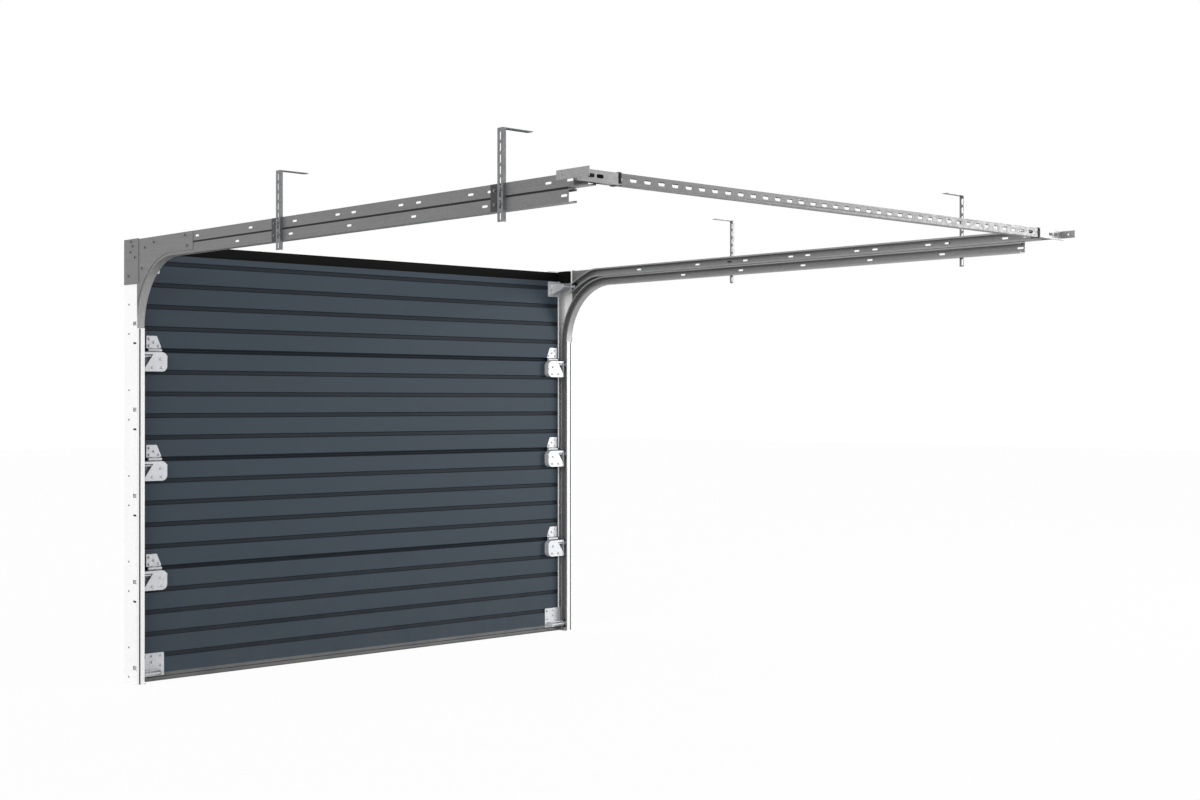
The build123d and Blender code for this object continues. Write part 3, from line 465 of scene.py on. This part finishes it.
# %% Screws in the hinges and roller carriers
HALF_JOINT_GAP = 0.0025
JOINT_HEIGHTS = [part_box(name)[0].z - HALF_JOINT_GAP
                 for name in ("section_2", "section_3", "top_section")]
HINGE_MIDDLE = 1.320
HINGE_SCREWS = ((-0.026, 0.022), (0.026, 0.022), (0.026, 0.056), (0.0, 0.04))
CARRIER_SCREWS = ((1.295, 0.088), (1.345, 0.088), (1.300, 0.045))
BOTTOM_SCREWS = ((1.282, 0.100), (1.330, 0.100), (1.366, 0.100), (1.282, 0.05), (1.330, 0.07))
TOP_SCREWS = ((1.305, 0.074), (1.335, 0.080), (1.366, 0.080), (1.305, 0.05))
LEAF_SHEET = 0.003
LEAF_FACE = PANEL_INSIDE + LEAF_SHEET
CARRIER_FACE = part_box("left_roller_carriers")[1].y
for side, sign in SIDES.items():
    on_curtain = bmesh.new()
    on_top = bmesh.new()
    for number, joint in enumerate(JOINT_HEIGHTS):
        target = on_top if number == 2 else on_curtain
        for across, up in HINGE_SCREWS:
            hex_screw(target, (sign * (HINGE_MIDDLE + across), LEAF_FACE, joint + up), (0, 1, 0))
        for x, down in CARRIER_SCREWS:
            hex_screw(on_curtain, (sign * x, CARRIER_FACE, joint - down), (0, 1, 0))
    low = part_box(f"{side}_bottom_bracket")[0].z
    for x, up in BOTTOM_SCREWS:
        hex_screw(on_curtain, (sign * x, LEAF_FACE, low + up), (0, 1, 0))
    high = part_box(f"{side}_top_bracket")[1].z
    for x, down in TOP_SCREWS:
        hex_screw(on_top, (sign * x, LEAF_FACE, high - down), (0, 1, 0))
    finish_piece(on_curtain, f"{side}_carrier_screws", "curtain", plated_zinc)
    finish_piece(on_top, f"{side}_top_screws", "top_leaf", plated_zinc)

# %% [markdown]
# ## Folded edges of the end caps
# Each section ends in a steel cap that is folded over both skins, so a thin bright lip runs down
# the edge of every panel. A scaled cube would do for the shape, but its corners would be razor
# sharp, so every edge is bevelled, which also gives the lip its thin highlight.

# %% End cap lips
LIP_WIDTH = 0.009
LIP_SHEET = 0.0007
CAP_SHEET = 0.002
LIP_FOOT = 0.006
LIP_TOP = 0.018
SECTIONS = {"bottom_section": "curtain", "section_2": "curtain", "section_3": "curtain",
            "top_section": "top_leaf"}


def flat_bar(mesh, low, high, bevel=0.0002):
    """A bevelled block between two corners."""
    low, high = Vector(low), Vector(high)
    shape = Matrix.Translation((low + high) / 2) @ Matrix.Diagonal((high - low).to_4d())
    soften(mesh, bmesh.ops.create_cube(mesh, size=1, matrix=shape), bevel, 1)


for section, body in SECTIONS.items():
    low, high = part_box(section)
    lips = bmesh.new()
    for sign in SIDES.values():
        edge = sign * (high.x + CAP_SHEET)
        across = sorted((edge, edge - sign * LIP_WIDTH))
        for face in (high.y, low.y - LIP_SHEET):
            flat_bar(lips, (across[0], face, low.z + LIP_FOOT),
                     (across[1], face + LIP_SHEET, high.z - LIP_TOP))
    finish_piece(lips, f"{section}_cap_lips", body, frame_zinc, flat=True)
print("end cap lips on", len(SECTIONS), "sections")

# %% [markdown]
# ## Painted shadow lines
# Two long dark lines paint the shadow in the steelwork: the shaded gap between the upper and the lower
# track, and the shadow gap between the side frame and its folded front. Both are thin dark bars
# that follow the edge where the shade falls.

# %% Painted shadow bars
SHADOW_LINE_SHEET = 0.0006
TRACK_SHADOW_LINE = 0.008
SHADOW_LINE_MIDDLE = 0.001
FRONT_SHADOW_LINE = (1.4205, 1.4275)
FRONT_SHADOW_LINE_FOOT = 0.004
FRONT_SHADOW_LINE_TOP = 0.008
for side, sign in SIDES.items():
    shadow_bars = bmesh.new()
    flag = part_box(f"{side}_flag_plate")
    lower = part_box(f"{side}_lower_track")
    web = lower[1].x if sign > 0 else lower[0].x
    across = sorted((web, web + sign * SHADOW_LINE_SHEET))
    middle = lower[1].z + SHADOW_LINE_MIDDLE
    # painted shadow: a dark bar over the gap between the upper and the lower track
    flat_bar(shadow_bars, (across[0], flag[1].y, middle - TRACK_SHADOW_LINE / 2),
             (across[1], lower[1].y, middle + TRACK_SHADOW_LINE / 2))
    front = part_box(f"{side}_side_frame")[1].y
    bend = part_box(f"{side}_curved_track")[0].z
    across = sorted(sign * x for x in FRONT_SHADOW_LINE)
    # painted shadow: a dark bar along the shadow gap at the front of the side frame
    flat_bar(shadow_bars, (across[0], front, FLOOR + FRONT_SHADOW_LINE_FOOT),
             (across[1], front + SHADOW_LINE_SHEET, bend + FRONT_SHADOW_LINE_TOP))
    finish_piece(shadow_bars, f"{side}_painted_shadow_bars", "frame", rubber_and_painted_shade, flat=True)

# %% [markdown]
# ## Clips on the cross rail
# Where the slotted end pieces meet the rail, a black moulded clip wraps the joint. It is three
# bars, over, behind and under the rail, and a raised band across the middle of the back.

# %% Rail clips
CLIP_SHEET = 0.003
CLIP_WIDTH = 0.016
CLIP_BEVEL = 0.0008
BAND_INSET = (0.005, 0.004)
BAND_DEPTH = 1.6 * CLIP_SHEET
for side, sign in SIDES.items():
    low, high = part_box("cross_rail")
    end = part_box(f"{side}_rail_end")
    inner = end[0].x if sign > 0 else end[1].x
    across = sorted((inner, inner - sign * CLIP_WIDTH))
    clip = bmesh.new()
    flat_bar(clip, (across[0], high.y, low.z - CLIP_SHEET),
             (across[1], high.y + CLIP_SHEET, high.z + CLIP_SHEET), CLIP_BEVEL)
    flat_bar(clip, (across[0], low.y, high.z), (across[1], high.y, high.z + CLIP_SHEET), CLIP_BEVEL)
    flat_bar(clip, (across[0], low.y, low.z - CLIP_SHEET), (across[1], high.y, low.z), CLIP_BEVEL)
    flat_bar(clip, (across[0] + BAND_INSET[0], high.y + CLIP_SHEET, low.z + BAND_INSET[1]),
             (across[1] - BAND_INSET[0], high.y + BAND_DEPTH, high.z - BAND_INSET[1]), CLIP_BEVEL)
    finish_piece(clip, f"{side}_rail_clip", "frame", black_nylon, flat=True)

# %% [markdown]
# ## Bolts in the steelwork
# The head plate, the flag plate, the hanger clamps and the rail brackets are bolted to the frame
# and tracks. The bolts sit on the outer faces, so their heads show from outside the door.

# %% Frame bolts
HALF_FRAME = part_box("left_side_frame")[1].x
HEAD_BOLTS = ((0.072, 2.187), (0.113, 2.108), (0.046, 2.018), (0.087, 2.164), (0.066, 2.135))
FLAG_BOLTS = ((0.605, 2.181), (0.624, 2.131), (0.300, 2.170), (0.210, 2.150), (0.180, 2.050))
HANGER_BOLT_HEIGHTS = (2.119, 2.171)
CLAMP_BOLT_LEAD = 0.045
BRACKET_BOLTS_Y = (0.018, 0.05)
BRACKET_BOLTS_X = (1.352, 1.382)
BRACKET_REAR = 0.07
PLATE_SHEET = 0.0025
SMALL_BOLT = {"across": 0.010, "washer": 0.0075}
LARGE_BOLT = {"across": 0.012, "washer": 0.010}
for side, sign in SIDES.items():
    bolts = bmesh.new()
    outward = (sign, 0, 0)
    for y, height in HEAD_BOLTS:
        hex_screw(bolts, (sign * (HALF_FRAME + PLATE_SHEET), y, FLOOR + height), outward, **SMALL_BOLT)
    for y, height in FLAG_BOLTS:
        hex_screw(bolts, (sign * HALF_FRAME, y, FLOOR + height), outward, **SMALL_BOLT)
    for place in ("front", "rear"):
        low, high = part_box(f"{side}_{place}_hanger")
        middle = (low.y + high.y) / 2
        face = high.x if sign > 0 else low.x
        for height in HANGER_BOLT_HEIGHTS:
            hex_screw(bolts, (face, middle, FLOOR + height), outward, **LARGE_BOLT)
            hex_screw(bolts, (sign * (WEB_OUTSIDE + PLATE_SHEET), middle - CLAMP_BOLT_LEAD, FLOOR + height),
                      outward, **SMALL_BOLT)
    low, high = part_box(f"{side}_rail_bracket")
    face = high.x if sign > 0 else low.x
    middle = (low.z + high.z) / 2
    for y in BRACKET_BOLTS_Y:
        hex_screw(bolts, (face, low.y + y, middle), outward, **SMALL_BOLT)
    for x in BRACKET_BOLTS_X:
        hex_screw(bolts, (sign * x, low.y + BRACKET_REAR, middle), (0, -1, 0), **SMALL_BOLT)
    finish_piece(bolts, f"{side}_frame_bolts", "frame", bolt_zinc)

# %% [markdown]
# ## Painted shade in the side frame holes
# The punched holes of the side frames are dark with shade, and thin dark bars paint it: a dash in
# every lower slot, a dot in every round hole, and an edging along three sides of every upper slot.
# The set repeats up the frame, and all of it is thin bevelled bars. Each bar is given by its two Y
# values and its two heights.

# %% Painted hole shade
HOLE_SHADE_SHEET = 0.0008
HOLE_SHADE_PITCH = 0.4245
HOLE_SHADE_SETS = 5
DASH = (0.095, 0.125, -0.0175, -0.0085)
EDGE_SHADES = ((0.093, 0.127, 0.090, 0.093), (0.093, 0.127, 0.075, 0.078), (0.093, 0.096, 0.078, 0.090))
DOTS = ((0.043, 0.053, 0.030, 0.038), (0.043, 0.053, 0.176, 0.184))
for side, sign in SIDES.items():
    hole_shades = bmesh.new()
    across = sorted((sign * HALF_FRAME, sign * (HALF_FRAME + HOLE_SHADE_SHEET)))
    for step in range(HOLE_SHADE_SETS):
        rise = FLOOR + HOLE_SHADE_PITCH * step
        for back, front, low, high in EDGE_SHADES + DOTS + ((DASH,) if step else ()):
            # painted shade: a thin dark bar where a hole is dark with shade
            flat_bar(hole_shades, (across[0], back, rise + low), (across[1], front, rise + high))
    finish_piece(hole_shades, f"{side}_painted_hole_shade", "frame", rubber_and_painted_shade, flat=True)

# %% [markdown]
# ## Rollers
# Each roller is a nylon tyre on a ball bearing. A half outline of the wheel, from the bearing seat
# over the flank and the crowned tread and back, is spun round the stem.


# %% Spun ring helper
def spun_ring(mesh, centre, outline, steps=40):
    """Spins a closed outline of X offsets and radii round the X axis through a centre."""
    vertices = [mesh.verts.new(centre + Vector((x, 0, radius))) for x, radius in outline]
    edges = [mesh.edges.new((vertices[index - 1], vertices[index])) for index in range(len(vertices))]
    bmesh.ops.spin(mesh, geom=vertices + edges, cent=centre, axis=(1, 0, 0), angle=2 * pi, steps=steps,
                   use_merge=True)
    bmesh.ops.remove_doubles(mesh, verts=mesh.verts, dist=1e-6)


TYRE = [(-0.0085, 0.0125), (-0.0088, 0.0152), (-0.006, 0.0165), (-0.006, 0.0185), (-0.009, 0.0195),
        (-0.009, 0.0212), (-0.0072, 0.0225), (0, 0.0226), (0.0072, 0.0225), (0.009, 0.0212),
        (0.009, 0.0195), (0.006, 0.0185), (0.006, 0.0165), (0.0088, 0.0152), (0.0085, 0.0125)]
BEARING = [(-0.007, 0.00505), (-0.0082, 0.0055), (-0.0082, 0.0072), (-0.0068, 0.0078), (-0.0068, 0.0102),
           (-0.0082, 0.0108), (-0.0082, 0.0124), (0.0082, 0.0124), (0.0082, 0.0108), (0.0068, 0.0102),
           (0.0068, 0.0078), (0.0082, 0.0072), (0.0082, 0.0055), (0.007, 0.00505)]
PLACES = ("bottom", "joint_1", "joint_2", "joint_3", "top")

# %% Rollers on their stems
for side in SIDES:
    for place in PLACES:
        node = f"{side}_{place}_wheel"
        low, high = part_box(node)
        centre = (low + high) / 2
        tyre = bmesh.new()
        spun_ring(tyre, centre, TYRE)
        tyre_piece = finish_piece(tyre, f"{side}_{place}_tyre", node, black_nylon)
        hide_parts(node)
        bearing = bmesh.new()
        spun_ring(bearing, centre, BEARING)
        finish_piece(bearing, f"{side}_{place}_bearing", node, plated_zinc)

# %% [markdown]
# ## Floor, backdrop and light
# The photograph stands on pure white. The floor and the sky are white for rays from the camera and
# for reflections, while a plain soft light does the lighting. A part of the floor's own shading
# stays mixed in, so the door keeps a faint shadow under it.

# %% Floor
WHITE_SHARE = 0.965


def white_rays(tree):
    """Gives 1 for rays from the camera, reflections and glass, and 0 for rays that light things."""
    rays = add_node(tree, "ShaderNodeLightPath")
    seen = add_node(tree, "ShaderNodeMath", {0: rays.outputs["Is Camera Ray"],
                                             1: rays.outputs["Is Glossy Ray"]}, operation="ADD")
    return add_node(tree, "ShaderNodeMath", {0: seen.outputs[0], 1: rays.outputs["Is Transmission Ray"]},
                    operation="ADD", use_clamp=True).outputs[0]


def make_floor_paint():
    material, tree, shader = start_finish("floor_paint")
    shader.inputs["Base Color"].default_value = grey(0.9)
    shader.inputs["Roughness"].default_value = 0.9
    shader.inputs["Specular IOR Level"].default_value = 0.0
    share = add_node(tree, "ShaderNodeMath", {0: white_rays(tree), 1: WHITE_SHARE}, operation="MULTIPLY")
    white = add_node(tree, "ShaderNodeEmission", {"Color": grey(1.0), "Strength": 1.0})
    mixed = add_node(tree, "ShaderNodeMixShader", {0: share.outputs[0], 1: shader.outputs["BSDF"],
                                                   2: white.outputs["Emission"]})
    tree.links.new(mixed.outputs["Shader"], tree.nodes["Material Output"].inputs["Surface"])
    return material


floor_mesh = bmesh.new()
bmesh.ops.create_grid(floor_mesh, x_segments=1, y_segments=1, size=40,
                      matrix=Matrix.Translation((0, 0, FLOOR - 0.001)))
floor_data = bpy.data.meshes.new("floor")
floor_mesh.to_mesh(floor_data)
floor_mesh.free()
floor_data.materials.append(make_floor_paint())
floor = bpy.data.objects.new("floor", floor_data)
bpy.context.scene.collection.objects.link(floor)


# %% World and lamps
def make_world():
    world = bpy.data.worlds.new("studio")
    world.use_nodes = True
    tree = world.node_tree
    light = tree.nodes["Background"]
    light.inputs["Color"].default_value = grey(1.0)
    light.inputs["Strength"].default_value = 0.5
    white = add_node(tree, "ShaderNodeBackground", {"Color": grey(1.0), "Strength": 1.0})
    mixed = add_node(tree, "ShaderNodeMixShader", {0: white_rays(tree), 1: light.outputs["Background"],
                                                   2: white.outputs["Background"]})
    tree.links.new(mixed.outputs["Shader"], tree.nodes["World Output"].inputs["Surface"])
    bpy.context.scene.world = world


SUN_FROM = Vector((0.9, 0.3, 0.26))
SOFT_BOX_PLACE = Vector((-8.5, 7.5, 0))
SOFT_BOX_FROM = Vector((-8.5, 7.5, 1.0))
make_world()
key_data = bpy.data.lights.new("key", "SUN")
key_data.energy = 1.72
key_data.angle = radians(50)
key = bpy.data.objects.new("key", key_data)
key.rotation_euler = SUN_FROM.to_track_quat("Z", "Y").to_euler()
bpy.context.scene.collection.objects.link(key)
soft_data = bpy.data.lights.new("soft_box", "AREA")
soft_data.energy = 520
soft_data.size = 4
soft = bpy.data.objects.new("soft_box", soft_data)
soft.location = SOFT_BOX_PLACE
soft.rotation_euler = SOFT_BOX_FROM.to_track_quat("Z", "Y").to_euler()
bpy.context.scene.collection.objects.link(soft)
bpy.context.scene.view_settings.view_transform = "Standard"
